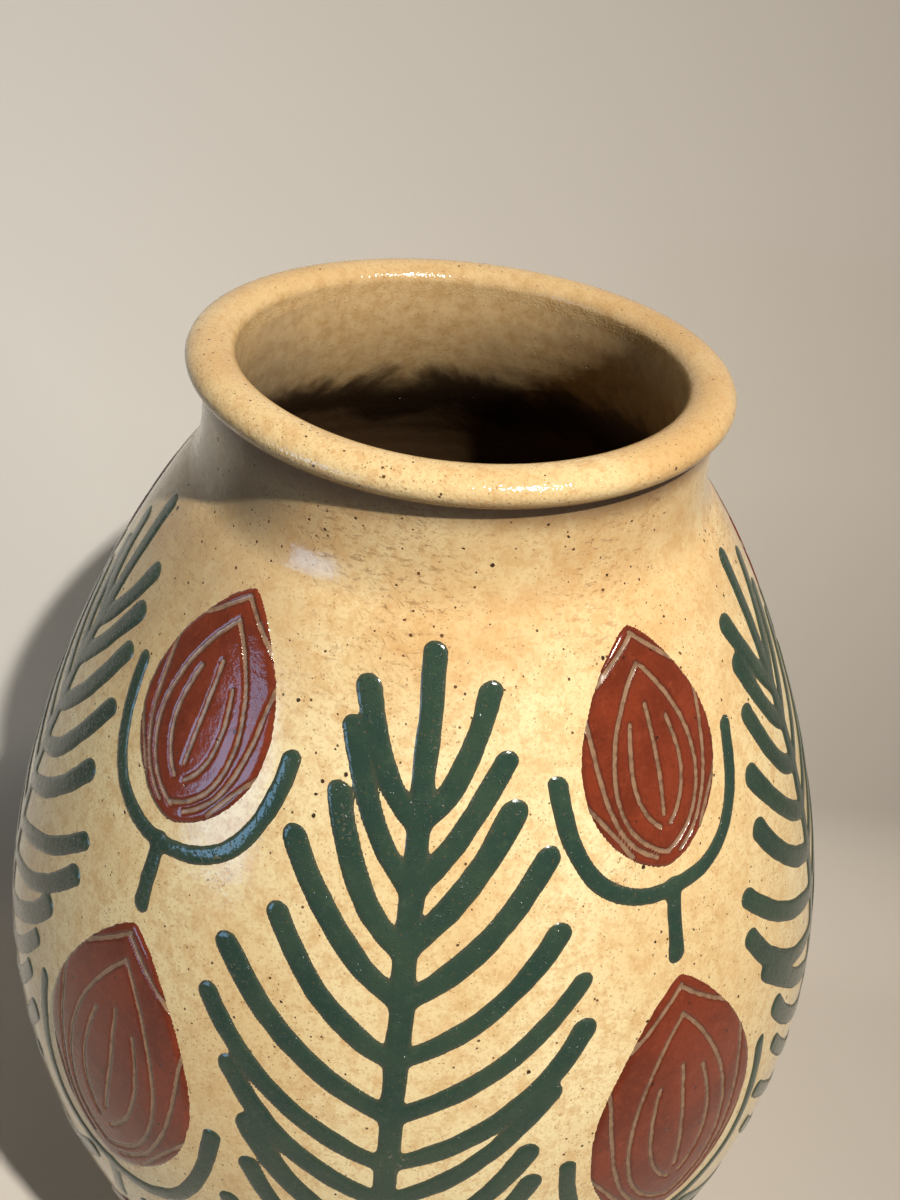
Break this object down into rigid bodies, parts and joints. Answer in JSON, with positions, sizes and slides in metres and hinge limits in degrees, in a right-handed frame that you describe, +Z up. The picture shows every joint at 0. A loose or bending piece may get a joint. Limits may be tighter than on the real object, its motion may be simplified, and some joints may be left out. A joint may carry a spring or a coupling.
{
  "type": "vase",
  "caption": "Egg-shaped earthenware vase with a short neck and thick rolled rim, cream glaze, raised green slip fronds and red-brown slip buds.",
  "frame": {"origin": "centre of the foot's underside", "axes": "+Z up along the vase's axis, a frond on the -Y side as the front"},
  "size_m": [0.2108, 0.2107, 0.2877],
  "materials": {
    "cream_glaze": "glossy cream glaze with fine brown speckle",
    "rim_glaze": "glossy cream glaze, tanned and thinner over the roll",
    "bare_clay": "unglazed fired clay, matt, rubbed at the edge",
    "green_slip": "dark green raised slip under clear glaze",
    "brown_slip": "red-brown slip under clear glaze, cut through with fine lines"
  },
  "bodies": {
    "root": {"foot_ring": "bare_clay", "lower_body": "cream_glaze", "upper_body": "cream_glaze", "neck_collar": "cream_glaze", "rim_roll": "rim_glaze", "fern_frond_1": "green_slip", "fern_frond_2": "green_slip", "fern_frond_3": "green_slip", "fern_frond_4": "green_slip", "fern_frond_5": "green_slip", "lower_bud_1": "brown_slip", "lower_bud_2": "brown_slip", "lower_bud_3": "brown_slip", "lower_bud_4": "brown_slip", "lower_bud_5": "brown_slip", "lower_calyx_1": "green_slip", "lower_calyx_2": "green_slip", "lower_calyx_3": "green_slip", "lower_calyx_4": "green_slip", "lower_calyx_5": "green_slip", "middle_bud_1": "brown_slip", "middle_bud_2": "brown_slip", "middle_bud_3": "brown_slip", "middle_bud_4": "brown_slip", "middle_bud_5": "brown_slip", "middle_calyx_1": "green_slip", "middle_calyx_2": "green_slip", "middle_calyx_3": "green_slip", "middle_calyx_4": "green_slip", "middle_calyx_5": "green_slip", "upper_bud_1": "brown_slip", "upper_bud_2": "brown_slip", "upper_bud_3": "brown_slip", "upper_bud_4": "brown_slip", "upper_bud_5": "brown_slip", "upper_calyx_1": "green_slip", "upper_calyx_2": "green_slip", "upper_calyx_3": "green_slip", "upper_calyx_4": "green_slip", "upper_calyx_5": "green_slip"}
  },
  "joints": []
}
